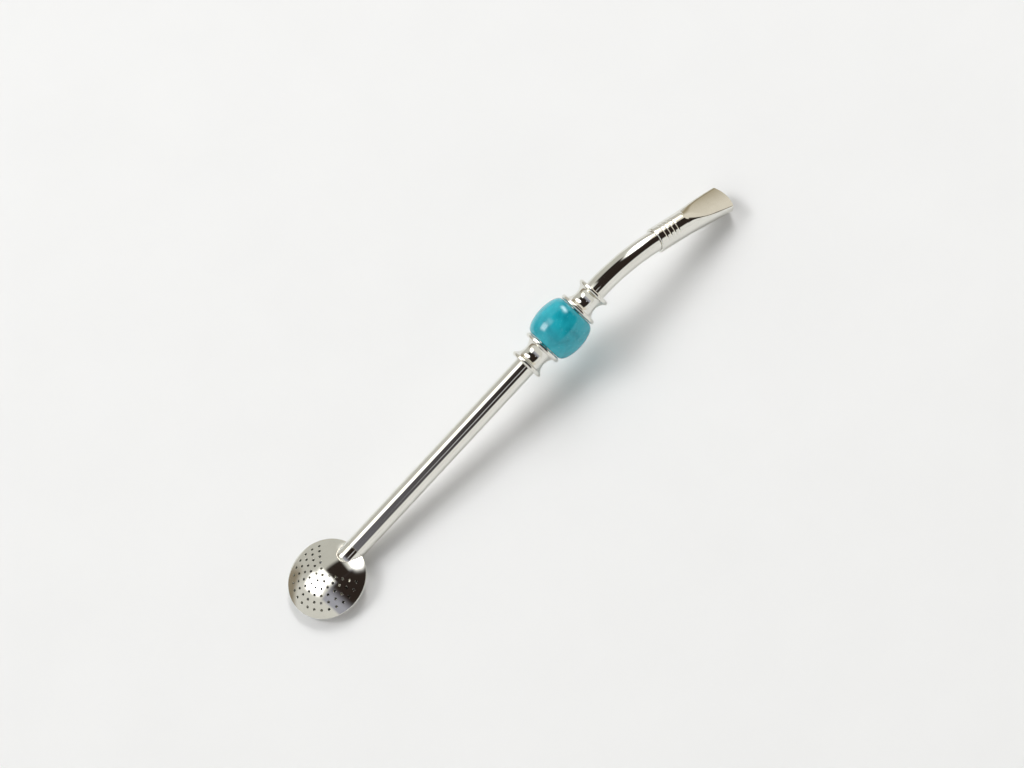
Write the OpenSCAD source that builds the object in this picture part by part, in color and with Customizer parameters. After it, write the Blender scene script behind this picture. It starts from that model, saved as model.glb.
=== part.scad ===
// Bombilla: a metal drinking straw with a round strainer, a bead between two ferrules
// and a bent, flattened mouthpiece. Millimetres.
// The stem lies along +X from the strainer to the mouthpiece, and +Z is the upper side.
// The origin is on the stem's axis, at the stem's lower end.

/* [Strainer] */
// Diameter of the strainer at its rim
strainer_d = 30.2; // [26:0.2:36]
// Height of each domed shell above the rim's plane
dome_h = 4.6; // [4.2:0.1:7]
// Sheet thickness of the shells
shell_t = 0.6; // [0.4:0.05:0.8]
// Height of the straight band at the rim of each shell
rim_band = 0.35; // [0.2:0.05:0.8]
// Diameter of each strainer hole
hole_d = 1; // [0.6:0.05:1.3]
// Distance between the rings of holes, along the dome
ring_step = 2.57; // [2:0.01:2.6]
// Angle that each ring of holes covers, with the bare sector towards the neck
hole_span = 243; // [180:1:260]
// Number of hole rings round the middle hole
ring_count = 5; // [2:1:5]
// Holes in the first ring
first_ring_holes = 5; // [3:1:6]
// Holes in the second ring
second_ring_holes = 10; // [6:1:11]
// Holes that each further ring gains
ring_gain = 3; // [1:1:4]

/* [Neck] */
// Wall of the strainer's socket
socket_wall = 0.65; // [0.4:0.05:0.9]
// Length of the socket, from its mouth at the rim to its inner end
socket_len = 6.5; // [5.5:0.1:8]
// Length of the socket's rounded nose
nose_len = 2.5; // [1.5:0.1:3]
// Radius of the throat that opens into the strainer
throat_r = 2.7; // [1.8:0.1:2.8]
// Wall of the throat at the nose's end
throat_wall = 0.5; // [0.3:0.05:0.6]
// Wall of the spigot in the stem's end
spigot_wall = 0.5; // [0.3:0.05:0.8]
// Length of the spigot inside the stem
spigot_in = 6; // [4:0.5:12]
// Length of the spigot inside the socket
spigot_out = 4.4; // [3:0.1:4.6]
// Gap at the parting line between the socket and the stem
seam_gap = 0.1; // [0.05:0.01:0.3]
// Running clearance round the spigot, on the radius
spigot_fit = 0.05; // [0.02:0.01:0.1]

/* [Stem] */
// Outside diameter of the tube
tube_d = 8; // [7.2:0.1:9]
// Wall of the tube
tube_wall = 0.5; // [0.3:0.05:0.8]
// Length of the stem from the parting line to the lower ferrule
stem_len = 89.6; // [60:0.2:130]
// Straight length between the upper ferrule and the bend
bend_lead = 0.7; // [0.2:0.1:10]
// Radius of the bend, at the tube's centre line
bend_r = 54; // [30:1:90]
// Angle of the bend
bend_angle = 28.5; // [10:0.5:45]
// Straight length between the bend and the mouthpiece
mouth_lead = 1.5; // [0.5:0.1:10]
// Depth to which the tube's straight end is dressed, outside and inside
end_relief = 0.02; // [0.01:0.01:0.04]

/* [Ferrules] */
// Length of each ferrule
ferrule_len = 9.9; // [8:0.1:14]
// Diameter of the flange against the bead
bead_flange_d = 15.1; // [13:0.1:18]
// Diameter of the flange against the tube
tube_flange_d = 13; // [12:0.1:16]
// Thickness of the flanges
flange_t = 1.7; // [1.2:0.1:2.2]
// Wall of the ferrule at the middle of its waist
waist_wall = 0.45; // [0.3:0.05:0.8]
// Radius of the waist's hollow
waist_r = 4.6; // [4.5:0.1:7]

/* [Bead] */
// Largest diameter of the bead
bead_d = 19.9; // [17:0.1:24]
// Length of the bead
bead_len = 16.6; // [12:0.2:24]
// Diameter of the bead's flat ends
bead_end_d = 13.2; // [11:0.1:15]
// Gap between the bead and each flange
bead_gap = 0.17; // [0.1:0.01:0.4]
// Running clearance of the bead on the tube, on the radius
bead_fit = 0.06; // [0.03:0.01:0.1]

/* [Mouthpiece] */
// Length of the mouthpiece
mouth_len = 34; // [28:0.5:38]
// Wall of the mouthpiece
sleeve_wall = 0.8; // [0.5:0.05:1]
// Depth of the rounded edge at the sleeve's lower end
sleeve_edge = 0.5; // [0.2:0.05:0.5]
// Length of the tube inside the sleeve
tube_insert = 11.2; // [6:0.2:11.4]
// Width of the beak at its tip
tip_w = 11.8; // [10.5:0.1:13]
// Thickness of the beak at its tip
tip_h = 6.9; // [6.2:0.1:7.6]
// Distance from the sleeve's lower end to where the upper side begins to sink
facet_start = 13; // [11.5:0.1:16]
// Length over which the upper side sinks into the flat
press_len = 7; // [5:0.5:12]
// Angle at which the flat falls towards the tip
flat_fall = 8; // [6:0.5:9.5]
// Radius of the tip's rounded end, seen from above
tip_end_r = 12.5; // [8:0.5:20]
// Number of engraved rings
groove_count = 4; // [1:1:5]
// Distance from the sleeve's lower end to the first ring
groove_first = 3.05; // [1.2:0.05:3.4]
// Distance between the rings
groove_pitch = 1.85; // [1.2:0.05:2]
// Width of each ring
groove_w = 0.9; // [0.3:0.05:1]
// Depth of each ring
groove_depth = 0.2; // [0.1:0.05:0.3]

/* [Hidden] */
$fn = 96;
hole_fn = 24;
arc_steps = 10;
bead_steps = 32;
// Gap that the braze metal fills round each fixed piece, on the radius
braze_gap = 0.03;
// Length of the tube's dressed end inside the wall of the bend
end_lap = 0.3;
// Overrun of a cutting shape past the face that it cuts
over = 1;
steel = "gainsboro";
turquoise = "lightseagreen";

// Radii that the mating pieces share
tube_r = tube_d / 2;
bore_r = tube_r - tube_wall;
seat_r = tube_r + braze_gap;
spigot_r = bore_r - braze_gap;
socket_bore_r = spigot_r + spigot_fit;
socket_r = socket_bore_r + socket_wall;
sleeve_r = seat_r + sleeve_wall;
nose_r = throat_r + throat_wall;

// Strainer: the dome is part of a sphere that meets the rim band
rim_r = strainer_d / 2;
cap_h = dome_h - rim_band;
dome_r = (rim_r * rim_r + cap_h * cap_h) / (2 * cap_h);
dome_centre_z = dome_h - dome_r;
neck_reach = sqrt(rim_r * rim_r - socket_r * socket_r);
mouth_x = -seam_gap;
strainer_x = mouth_x - neck_reach;

// Places along the stem
lower_ferrule_x = stem_len;
bead_x = lower_ferrule_x + ferrule_len + bead_gap;
upper_ferrule_x = bead_x + bead_len + bead_gap;
bend_x = upper_ferrule_x + ferrule_len + bend_lead;

// Beak: the sleeve widens to the tip, and its upper side is pressed down
tip_r = tip_w / 2;
beak_len = mouth_len - facet_start;
flat_slope = tan(flat_fall);
press_drop = sleeve_r - (tip_h - tip_r) - flat_slope * beak_len;
press_step = press_len / arc_steps;

// Points of an arc, in equal steps from one angle to another
function arc(centre, r, from, to, steps) = [
    for (i = [0:steps])
    let (a = from + (to - from) * i / steps)
    centre + r * [cos(a), sin(a)]
];

// Holes in one ring
function ring_holes(ring) =
    ring == 1 ? first_ring_holes : second_ring_holes + ring_gain * (ring - 2);

// Turns a shape that stands on +Z so that it lies along +X
module along_x() {
    rotate([0, 90, 0])
        children();
}

// A ring-shaped tube along +X
module pipe(outer, inner, length) {
    along_x()
        difference() {
            cylinder(r = outer, h = length);
            translate([0, 0, -over])
                cylinder(r = inner, h = length + 2 * over);
        }
}

// Half of the strainer's outline, as a profile to turn about its axis
module dome_profile() {
    difference() {
        intersection() {
            translate([0, dome_centre_z])
                circle(r = dome_r, $fn = 4 * $fn);
            square([rim_r, dome_h]);
        }
        translate([0, dome_centre_z])
            circle(r = dome_r - shell_t, $fn = 4 * $fn);
    }
}

// One drill through the dome, square to its surface
module dome_drill(ring, turn) {
    lean = ring * ring_step / dome_r * 180 / PI;
    translate([0, 0, dome_centre_z])
        rotate([0, lean, turn])
            translate([0, 0, dome_r - shell_t - over])
                cylinder(d = hole_d, h = shell_t + 2 * over, $fn = hole_fn);
}

// The middle hole and the rings of holes, centred on the side away from the neck
module dome_drills() {
    dome_drill(0, 0);
    for (ring = [1:ring_count]) {
        last = ring_holes(ring) - 1;
        for (i = [0:last])
            dome_drill(ring, 180 - hole_span / 2 + hole_span * i / last);
    }
}

// Rounded nose of the socket, as profile points grown by a gap
function socket_nose(gap) = [
    for (p = arc([0, 0], 1, 90, 0, arc_steps))
    [nose_r + gap + (socket_r - nose_r) * p[1], socket_len - nose_len + (nose_len + gap) * p[0]]
];

// Lays a profile that is drawn from the socket's mouth to its nose
module from_mouth() {
    translate([neck_reach, 0, 0])
        mirror([1, 0, 0])
            along_x()
                rotate_extrude()
                    children();
}

// A perforated shell with the saddle cut for the socket
module strainer_shell() {
    saddle = concat(
        [[0, -rim_r], [socket_r + braze_gap, -rim_r]],
        socket_nose(braze_gap),
        [[0, socket_len + braze_gap]]
    );
    difference() {
        rotate_extrude()
            dome_profile();
        dome_drills();
        from_mouth()
            polygon(saddle);
    }
}

module strainer_front() {
    color(steel)
        translate([strainer_x, 0, 0])
            strainer_shell();
}

module strainer_back() {
    color(steel)
        translate([strainer_x, 0, 0])
            mirror([0, 0, 1])
                strainer_shell();
}

// Turned collar: plain at the mouth, rounded at the nose, stepped inside
module strainer_socket() {
    step = spigot_out + seam_gap;
    profile = concat(
        [[socket_bore_r, 0], [socket_r, 0]],
        socket_nose(0),
        [[throat_r, socket_len], [throat_r, step], [socket_bore_r, step]]
    );
    color(steel)
        translate([strainer_x, 0, 0])
            from_mouth()
                polygon(profile);
}

// Liner in the stem's end that plugs into the socket
module stem_spigot() {
    color(steel)
        translate([-spigot_out, 0, 0])
            pipe(spigot_r, spigot_r - spigot_wall, spigot_out + spigot_in);
}

// Turns a shape about the bend's centre, from the bend's start to its end
module at_bend_end() {
    translate([bend_x, 0, -bend_r])
        rotate([0, bend_angle, 0])
            translate([0, 0, bend_r])
                children();
}

// The tube: a straight run, the bend, and a dressed straight end that laps into the bend
module stem_tube() {
    color(steel)
        union() {
            pipe(tube_r, bore_r, bend_x);
            translate([bend_x, 0, -bend_r])
                rotate([90, 0, 0])
                    rotate([0, 0, 90])
                        rotate_extrude(angle = -bend_angle, $fn = 4 * $fn)
                            translate([bend_r, 0])
                                difference() {
                                    circle(r = tube_r);
                                    circle(r = bore_r);
                                }
            at_bend_end()
                translate([-end_lap, 0, 0])
                    pipe(tube_r - end_relief, bore_r + end_relief, end_lap + mouth_lead + tube_insert);
        }
}

// Spool turned about the stem: the larger flange is at the end of its length
module ferrule() {
    rim = flange_t / 2;
    waist_z = ferrule_len / 2;
    hollow_centre = seat_r + waist_wall + waist_r;
    half_waist = waist_z - flange_t;
    hollow_angle = asin(half_waist / waist_r);
    profile = concat(
        [[seat_r, 0]],
        arc([tube_flange_d / 2 - rim, rim], rim, -90, 90, arc_steps),
        arc([hollow_centre, waist_z], waist_r, 180 + hollow_angle, 180 - hollow_angle, arc_steps),
        arc([bead_flange_d / 2 - rim, ferrule_len - rim], rim, -90, 90, arc_steps),
        [[seat_r, ferrule_len]]
    );
    along_x()
        rotate_extrude()
            polygon(profile);
}

module lower_ferrule() {
    color(steel)
        translate([lower_ferrule_x, 0, 0])
            ferrule();
}

module upper_ferrule() {
    color(steel)
        translate([upper_ferrule_x + ferrule_len, 0, 0])
            mirror([1, 0, 0])
                ferrule();
}

// Barrel with flat ends: its side is half an ellipse
module bead() {
    end_r = bead_end_d / 2;
    swell = bead_d / 2 - end_r;
    side = [
        for (p = arc([0, 0], 1, -90, 90, bead_steps))
        [end_r + swell * p[0], bead_len / 2 * (1 + p[1])]
    ];
    profile = concat(
        [[tube_r + bead_fit, 0]],
        side,
        [[tube_r + bead_fit, bead_len]]
    );
    color(turquoise)
        translate([bead_x, 0, 0])
            along_x()
                rotate_extrude()
                    polygon(profile);
}

// Outside of the mouthpiece before it is flattened: rounded edge, engraved rings, flare
module sleeve_outside() {
    ring_half = groove_w / 2;
    rings = [
        for (i = [0:groove_count - 1])
        let (z = groove_first + groove_pitch * i)
        each [
            [sleeve_r, z - ring_half],
            [sleeve_r - groove_depth, z],
            [sleeve_r, z + ring_half]
        ]
    ];
    profile = concat(
        [[0, 0]],
        arc([sleeve_r - sleeve_edge, sleeve_edge], sleeve_edge, -90, 0, arc_steps),
        rings,
        [[sleeve_r, facet_start], [tip_r, mouth_len], [0, mouth_len]]
    );
    along_x()
        rotate_extrude()
            polygon(profile);
}

// Passage through the mouthpiece: seat for the tube, then a flare past the tip
module sleeve_inside() {
    flare = (tip_r - sleeve_r) / beak_len;
    profile = [
        [0, -over],
        [seat_r, -over],
        [seat_r, facet_start],
        [seat_r + flare * (beak_len + over), mouth_len + over],
        [0, mouth_len + over]
    ];
    along_x()
        rotate_extrude()
            polygon(profile);
}

// Height of the pressed upper side after a number of steps: the fall of the flat and an eased sink
function press_z(step) =
    sleeve_r - flat_slope * press_step * step - press_drop * (1 - cos(180 * step / arc_steps)) / 2;

// Everything above the pressed side of the beak, lowered by a depth for the passage
module above_press(depth) {
    top = 2 * sleeve_r + depth;
    start = facet_start - press_step;
    end = 2 * mouth_len;
    end_z = press_z(arc_steps) - flat_slope * (end - facet_start - press_len);
    sink = [for (i = [0:arc_steps]) [facet_start + press_step * i, press_z(i)]];
    profile = concat(
        [[start, top], [start, 2 * sleeve_r - press_z(1)]],
        sink,
        [[end, end_z], [end, top]]
    );
    translate([0, tip_w, -depth])
        rotate([90, 0, 0])
            linear_extrude(height = 2 * tip_w)
                polygon(profile);
}

// What lies outside the tip's rounded end
module past_tip() {
    end_x = mouth_len - tip_end_r;
    difference() {
        translate([end_x, -tip_w, -tip_w])
            cube([tip_end_r + over, 2 * tip_w, 2 * tip_w]);
        translate([end_x, 0, -tip_w - over])
            cylinder(r = tip_end_r, h = 2 * (tip_w + over));
    }
}

module mouthpiece() {
    color(steel)
        at_bend_end()
            translate([mouth_lead, 0, 0])
                difference() {
                    sleeve_outside();
                    above_press(0);
                    difference() {
                        sleeve_inside();
                        above_press(sleeve_wall);
                    }
                    past_tip();
                }
}

strainer_front();
strainer_back();
strainer_socket();
stem_spigot();
stem_tube();
lower_ferrule();
bead();
upper_ferrule();
mouthpiece();
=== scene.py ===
import math

import bmesh
import bpy
from mathutils import Matrix, Vector


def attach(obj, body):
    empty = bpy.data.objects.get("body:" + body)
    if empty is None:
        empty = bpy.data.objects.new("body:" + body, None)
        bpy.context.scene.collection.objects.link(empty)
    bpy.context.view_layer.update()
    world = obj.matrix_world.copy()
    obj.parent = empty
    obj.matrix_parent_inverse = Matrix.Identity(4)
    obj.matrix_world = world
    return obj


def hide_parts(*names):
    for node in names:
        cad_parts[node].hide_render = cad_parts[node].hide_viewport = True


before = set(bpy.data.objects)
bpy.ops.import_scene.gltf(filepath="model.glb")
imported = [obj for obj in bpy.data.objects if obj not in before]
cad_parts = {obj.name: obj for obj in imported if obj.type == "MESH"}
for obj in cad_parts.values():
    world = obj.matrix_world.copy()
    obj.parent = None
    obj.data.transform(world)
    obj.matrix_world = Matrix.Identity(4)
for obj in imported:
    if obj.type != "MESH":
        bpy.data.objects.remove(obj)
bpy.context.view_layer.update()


# Stem tube
# One length of drawn stainless steel tube, 8 mm across. It is bent once over a former near the
# mouth end, and buffed bright all over. Everything else is brazed, pushed or threaded onto it.
MM = 0.001
tube_r = 4 * MM
tube_wall = 0.5 * MM
tube_end_round = 0.1 * MM
bend_start = 127.04 * MM
bend_r = 54 * MM
bend_angle = math.radians(28.5)
bend_len = bend_r * bend_angle
mouth_lead = 1.5 * MM
tube_insert = 11.2 * MM
tube_len = bend_start + bend_len + mouth_lead + tube_insert
bend_stations = 56
turn_points = 112
round_steps = 6
# A rounding takes at most this share of a side
round_most = 0.45
crease_angle = math.radians(40)
weld_gap = 1e-7


def linear(code):
    """The linear colour of an sRGB hex value, with full alpha."""
    parts = [int(code[i:i + 2], 16) / 255 for i in (1, 3, 5)]
    return [c / 12.92 if c <= 0.04045 else ((c + 0.055) / 1.055) ** 2.4 for c in parts] + [1]


def add_node(tree, kind, inputs=None, **settings):
    """Adds a node with its settings, and sets or links its inputs."""
    node = tree.nodes.new(kind)
    for name, value in settings.items():
        setattr(node, name, value)
    for key, value in (inputs or {}).items():
        if isinstance(value, bpy.types.NodeSocket):
            tree.links.new(value, node.inputs[key])
        else:
            node.inputs[key].default_value = value
    return node


# The colour sockets of a Mix node go by number, because it has the same names for each kind of value
MIX_A, MIX_B, MIX_OUT = 6, 7, 2


def new_tree(name, sizes):
    """Starts a geometry tree with named inputs, and returns it with its input node."""
    tree = bpy.data.node_groups.new(name, "GeometryNodeTree")
    tree.is_modifier = True
    tree.interface.new_socket(name="Geometry", in_out="INPUT", socket_type="NodeSocketGeometry")
    for label, kind in sizes.items():
        tree.interface.new_socket(name=label, in_out="INPUT", socket_type="NodeSocket" + kind)
    tree.interface.new_socket(name="Geometry", in_out="OUTPUT", socket_type="NodeSocketGeometry")
    return tree, add_node(tree, "NodeGroupInput").outputs


def end_tree(tree, geometry, finish):
    """Realizes what a tree has made, gives it its material and ends the tree."""
    whole = add_node(tree, "GeometryNodeRealizeInstances", {"Geometry": geometry})
    dressed = add_node(tree, "GeometryNodeSetMaterial", {"Geometry": whole.outputs[0], "Material": finish})
    add_node(tree, "NodeGroupOutput", {"Geometry": dressed.outputs[0]})


def work(piece, tree, values):
    """Runs a geometry tree on a piece and leaves the result as the piece's plain mesh."""
    modifier = piece.modifiers.new(tree.name, "NODES")
    modifier.node_group = tree
    for item in tree.interface.items_tree:
        if item.in_out == "INPUT" and item.name in values:
            modifier[item.identifier] = values[item.name]
    graph = bpy.context.evaluated_depsgraph_get()
    result = bpy.data.meshes.new_from_object(
        piece.evaluated_get(graph), preserve_all_data_layers=True, depsgraph=graph
    )
    piece.modifiers.remove(modifier)
    piece.data = result


def skin(name, rings, closed=True):
    """A piece whose faces run from ring to ring; closed joins the last ring to the first."""
    count = len(rings[0])
    faces = []
    for i in range(len(rings) if closed else len(rings) - 1):
        here, ahead = i * count, (i + 1) % len(rings) * count
        for j in range(count):
            k = (j + 1) % count
            faces.append((here + j, here + k, ahead + k, ahead + j))
    mesh = bpy.data.meshes.new(name)
    mesh.from_pydata([p for ring in rings for p in ring], [], faces)
    shaped = bmesh.new()
    shaped.from_mesh(mesh)
    bmesh.ops.remove_doubles(shaped, verts=shaped.verts, dist=weld_gap)
    bmesh.ops.recalc_face_normals(shaped, faces=shaped.faces)
    shaped.to_mesh(mesh)
    shaped.free()
    mesh.shade_smooth()
    mesh.set_sharp_from_angle(angle=crease_angle)
    piece = bpy.data.objects.new(name, mesh)
    bpy.context.scene.collection.objects.link(piece)
    return piece


def rounded(corners):
    """Points of a closed outline, from corners given as (along, out, rounding)."""
    outline = []
    for i, (along, out, rounding) in enumerate(corners):
        here = Vector((along, out))
        back = Vector(corners[i - 1][:2]) - here
        ahead = Vector(corners[(i + 1) % len(corners)][:2]) - here
        reach = min(rounding, round_most * back.length, round_most * ahead.length)
        if reach < weld_gap:
            outline.append(here)
            continue
        start = here + back.normalized() * reach
        end = here + ahead.normalized() * reach
        for k in range(round_steps + 1):
            t = k / round_steps
            outline.append((1 - t) ** 2 * start + 2 * t * (1 - t) * here + t * t * end)
    return outline


def ring_about_x(along, out, points=turn_points):
    """A ring of points round the stem's axis."""
    turns = [2 * math.pi * k / points for k in range(points)]
    return [(along, out * math.cos(a), out * math.sin(a)) for a in turns]


# Stainless steel, drawn, then buffed to a mirror. The eye sees sharp reflections that waver a little,
# a warm-grey metal, faint hazy patches from handling, and hairlines left by the buffing wheel.
steel = bpy.data.materials.new("buffed_stainless_steel")
steel.use_nodes = True
steel_colour = linear("#EDECE6")
steel_haze_colour = linear("#DEDCD4")
haze_patch = 7 * MM
# The hairlines are some 10 microns apart, too fine to show, and are drawn 0.35 mm apart
hairline_gap = 0.35 * MM
# Along the stem they are drawn out by the inverse of this share
hairline_stretch = 0.06
hairline_depth = 0.02 * MM
waver_length = 9 * MM
waver_depth = 0.2 * MM
steel_tree = steel.node_tree
steel_shader = steel_tree.nodes["Principled BSDF"]
steel_place = add_node(steel_tree, "ShaderNodeTexCoord").outputs["Object"]
haze = add_node(
    steel_tree, "ShaderNodeTexNoise",
    {"Vector": steel_place, "Scale": 1 / haze_patch, "Detail": 4, "Roughness": 0.6},
)
steel_mix = add_node(
    steel_tree, "ShaderNodeMix",
    {"Factor": haze.outputs["Fac"], MIX_A: steel_colour, MIX_B: steel_haze_colour}, data_type="RGBA",
)
steel_rough = add_node(
    steel_tree, "ShaderNodeMapRange",
    {"Value": haze.outputs["Fac"], "From Min": 0.35, "From Max": 0.75, "To Min": 0.045, "To Max": 0.11},
)
hair_place = add_node(
    steel_tree, "ShaderNodeMapping", {"Vector": steel_place, "Scale": (hairline_stretch, 1, 1)}
)
hairlines = add_node(
    steel_tree, "ShaderNodeTexNoise",
    {"Vector": hair_place.outputs[0], "Scale": 1 / hairline_gap, "Detail": 2},
)
waver = add_node(
    steel_tree, "ShaderNodeTexNoise", {"Vector": steel_place, "Scale": 1 / waver_length, "Detail": 1}
)
hair_bump = add_node(
    steel_tree, "ShaderNodeBump",
    {"Strength": 0.025, "Distance": hairline_depth, "Height": hairlines.outputs["Fac"]},
)
waver_bump = add_node(
    steel_tree, "ShaderNodeBump",
    {
        "Strength": 0.10, "Distance": waver_depth,
        "Height": waver.outputs["Fac"], "Normal": hair_bump.outputs[0],
    },
)
steel_shader.inputs["Metallic"].default_value = 1
steel_tree.links.new(steel_mix.outputs[MIX_OUT], steel_shader.inputs["Base Color"])
steel_tree.links.new(steel_rough.outputs[0], steel_shader.inputs["Roughness"])
steel_tree.links.new(waver_bump.outputs[0], steel_shader.inputs["Normal"])

# The bending former: what lies past the bend's start is turned about the former's centre
bend_tree, bend_in = new_tree(
    "bend_over_former",
    {"Bend Start": "Float", "Bend Radius": "Float", "Bend Angle": "Float", "Finish": "Material"},
)
bend_place = add_node(bend_tree, "GeometryNodeInputPosition").outputs[0]
bend_along = add_node(bend_tree, "ShaderNodeSeparateXYZ", {0: bend_place}).outputs["X"]
past_start = add_node(
    bend_tree, "ShaderNodeMath", {0: bend_along, 1: bend_in["Bend Start"]}, operation="SUBTRACT"
)
free_turn = add_node(
    bend_tree, "ShaderNodeMath", {0: past_start.outputs[0], 1: bend_in["Bend Radius"]}, operation="DIVIDE"
)
turn = add_node(
    bend_tree, "ShaderNodeClamp", {"Value": free_turn.outputs[0], "Min": 0.0, "Max": bend_in["Bend Angle"]}
)
taken_up = add_node(
    bend_tree, "ShaderNodeMath", {0: turn.outputs[0], 1: bend_in["Bend Radius"]}, operation="MULTIPLY"
)
taken_vector = add_node(bend_tree, "ShaderNodeCombineXYZ", {"X": taken_up.outputs[0]})
at_start = add_node(
    bend_tree, "ShaderNodeVectorMath", {0: bend_place, 1: taken_vector.outputs[0]}, operation="SUBTRACT"
)
former_drop = add_node(
    bend_tree, "ShaderNodeMath", {0: bend_in["Bend Radius"], 1: -1.0}, operation="MULTIPLY"
)
former_centre = add_node(
    bend_tree, "ShaderNodeCombineXYZ", {"X": bend_in["Bend Start"], "Z": former_drop.outputs[0]}
)
turned_place = add_node(
    bend_tree, "ShaderNodeVectorRotate",
    {
        "Vector": at_start.outputs[0], "Center": former_centre.outputs[0],
        "Axis": (0, 1, 0), "Angle": turn.outputs[0],
    },
    rotation_type="AXIS_ANGLE",
)
bent = add_node(
    bend_tree, "GeometryNodeSetPosition",
    {"Geometry": bend_in["Geometry"], "Position": turned_place.outputs[0]},
)
end_tree(bend_tree, bent.outputs[0], bend_in["Finish"])
bend_sizes = {"Bend Start": bend_start, "Bend Radius": bend_r, "Bend Angle": bend_angle, "Finish": steel}

# The wall's section: its four rounded corners, and stations along the bend outside and inside
tube_bore = tube_r - tube_wall
tube_corners = rounded([
    (0, tube_bore, tube_end_round), (0, tube_r, tube_end_round),
    (tube_len, tube_r, tube_end_round), (tube_len, tube_bore, tube_end_round),
])
corner_points = round_steps + 1
lower_in, lower_out, upper_out, upper_in = [
    tube_corners[k * corner_points:(k + 1) * corner_points] for k in range(4)
]
bend_run = [bend_start + bend_len * k / bend_stations for k in range(bend_stations + 1)]
tube_outline = lower_out + [Vector((x, tube_r)) for x in bend_run] + upper_out
tube_outline += upper_in + [Vector((x, tube_bore)) for x in reversed(bend_run)] + lower_in
tube = skin("drawn_tube", [ring_about_x(p.x, p.y) for p in tube_outline])
work(tube, bend_tree, bend_sizes)
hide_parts("stem_tube")
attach(tube, "stem")


# Stem spigot
# A short steel liner, brazed in the stem's lower end. Its free half plugs into the strainer's socket,
# so the stem and the strainer meet flush at the parting line.
spigot_r = 3.47 * MM
spigot_wall = 0.5 * MM
spigot_out = 4.4 * MM
spigot_in = 6 * MM
spigot_lead = 0.25 * MM
spigot_edge = 0.08 * MM
spigot = skin("spigot_liner", [
    ring_about_x(p.x, p.y)
    for p in rounded([
        (-spigot_out, spigot_r - spigot_wall, spigot_edge), (-spigot_out, spigot_r, spigot_lead),
        (spigot_in, spigot_r, spigot_edge), (spigot_in, spigot_r - spigot_wall, spigot_edge),
    ])
])
spigot.data.materials.append(steel)
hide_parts("stem_spigot")
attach(spigot, "stem")


# Strainer socket
# A turned steel collar, let into the edge of the strainer. Its rounded nose is brazed to both shells,
# and its bore takes the spigot as far as a step.
seam_gap = 0.1 * MM
socket_bore = 3.52 * MM
socket_r = 4.17 * MM
socket_len = 6.5 * MM
nose_len = 2.5 * MM
throat_r = 2.7 * MM
nose_r = 3.2 * MM
socket_step = spigot_out + seam_gap
bore_edge = 0.1 * MM
mouth_edge = 0.12 * MM
nose_steps = 14


def nose_outline(gap):
    """The socket's nose from its shoulder to its end, as (along, out), grown by a gap."""
    shoulder = socket_len - nose_len
    quarter = [math.pi / 2 * k / nose_steps for k in range(nose_steps + 1)]
    return [
        Vector((
            -seam_gap - shoulder - (nose_len + gap) * math.sin(a),
            nose_r + gap + (socket_r - nose_r) * math.cos(a),
        ))
        for a in quarter
    ]


socket_mouth = rounded([
    (-seam_gap - socket_step, socket_bore, 0), (-seam_gap, socket_bore, bore_edge),
    (-seam_gap, socket_r, mouth_edge), (-seam_gap - socket_len, socket_r, 0),
])
socket_outline = socket_mouth[:-1] + nose_outline(0) + [
    Vector((-seam_gap - socket_len, throat_r)), Vector((-seam_gap - socket_step, throat_r)),
]
socket = skin("socket_collar", [ring_about_x(p.x, p.y) for p in socket_outline])
socket.data.materials.append(steel)
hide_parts("strainer_socket")
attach(socket, "strainer")


# Strainer shells
# Two round steel sheets, stamped into shallow domes, punched with rings of 1 mm holes on the side away
# from the neck and polished. They are brazed together round the rim, with the socket between them.
rim_r = 15.1 * MM
dome_h = 4.6 * MM
rim_band = 0.35 * MM
shell_t = 0.6 * MM
rim_round = 0.16 * MM
rim_edge = 0.08 * MM
dome_r = (rim_r ** 2 + (dome_h - rim_band) ** 2) / (2 * (dome_h - rim_band))
strainer_x = -seam_gap - math.sqrt(rim_r ** 2 - socket_r ** 2)
dome_centre = dome_h - dome_r
braze_gap = 0.03 * MM
hole_r = 0.5 * MM
hole_points = 24
hole_edge = 0.03 * MM
hole_crease = math.radians(30)
punch_reach = 3 * shell_t
saddle_start = 4 * MM
dome_rings = 26
shell_points = 144
punch_sizes = {
    "Ring Step": 2.57 * MM, "Hole Span": math.radians(243), "Rings": 5,
    "First Ring": 5, "Second Ring": 10, "Ring Gain": 3,
}


def ring_about_z(middle, out, up, points):
    """A ring of points round an upright axis that stands on the stem's axis."""
    turns = [2 * math.pi * k / points for k in range(points)]
    return [(middle + out * math.cos(a), out * math.sin(a), up) for a in turns]


# The punched holes: rings of points on the dome, a punch set square to the dome at each, and a cut
punch_tree, punch_in = new_tree("punched_holes", {
    "Dome Radius": "Float", "Dome Centre": "Vector", "Side": "Float", "Ring Step": "Float",
    "Hole Span": "Float", "Rings": "Int", "First Ring": "Int", "Second Ring": "Int", "Ring Gain": "Int",
    "Punch": "Object", "Saddle": "Object", "Finish": "Material",
})
rings_start = add_node(punch_tree, "GeometryNodeRepeatInput")
rings_end = add_node(punch_tree, "GeometryNodeRepeatOutput")
rings_start.pair_with_output(rings_end)
one_point = add_node(punch_tree, "GeometryNodeMeshLine", {"Count": 1})
apex_height = add_node(
    punch_tree, "ShaderNodeMath", {0: punch_in["Dome Radius"], 1: punch_in["Side"]}, operation="MULTIPLY"
)
apex = add_node(punch_tree, "ShaderNodeCombineXYZ", {"Z": apex_height.outputs[0]})
middle_hole = add_node(
    punch_tree, "GeometryNodeSetPosition", {"Geometry": one_point.outputs[0], "Position": apex.outputs[0]}
)
punch_tree.links.new(punch_in["Rings"], rings_start.inputs["Iterations"])
punch_tree.links.new(middle_hole.outputs[0], rings_start.inputs["Geometry"])
ring_index = rings_start.outputs["Iteration"]
ring_number = add_node(punch_tree, "ShaderNodeMath", {0: ring_index, 1: 1.0}, operation="ADD")
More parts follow.
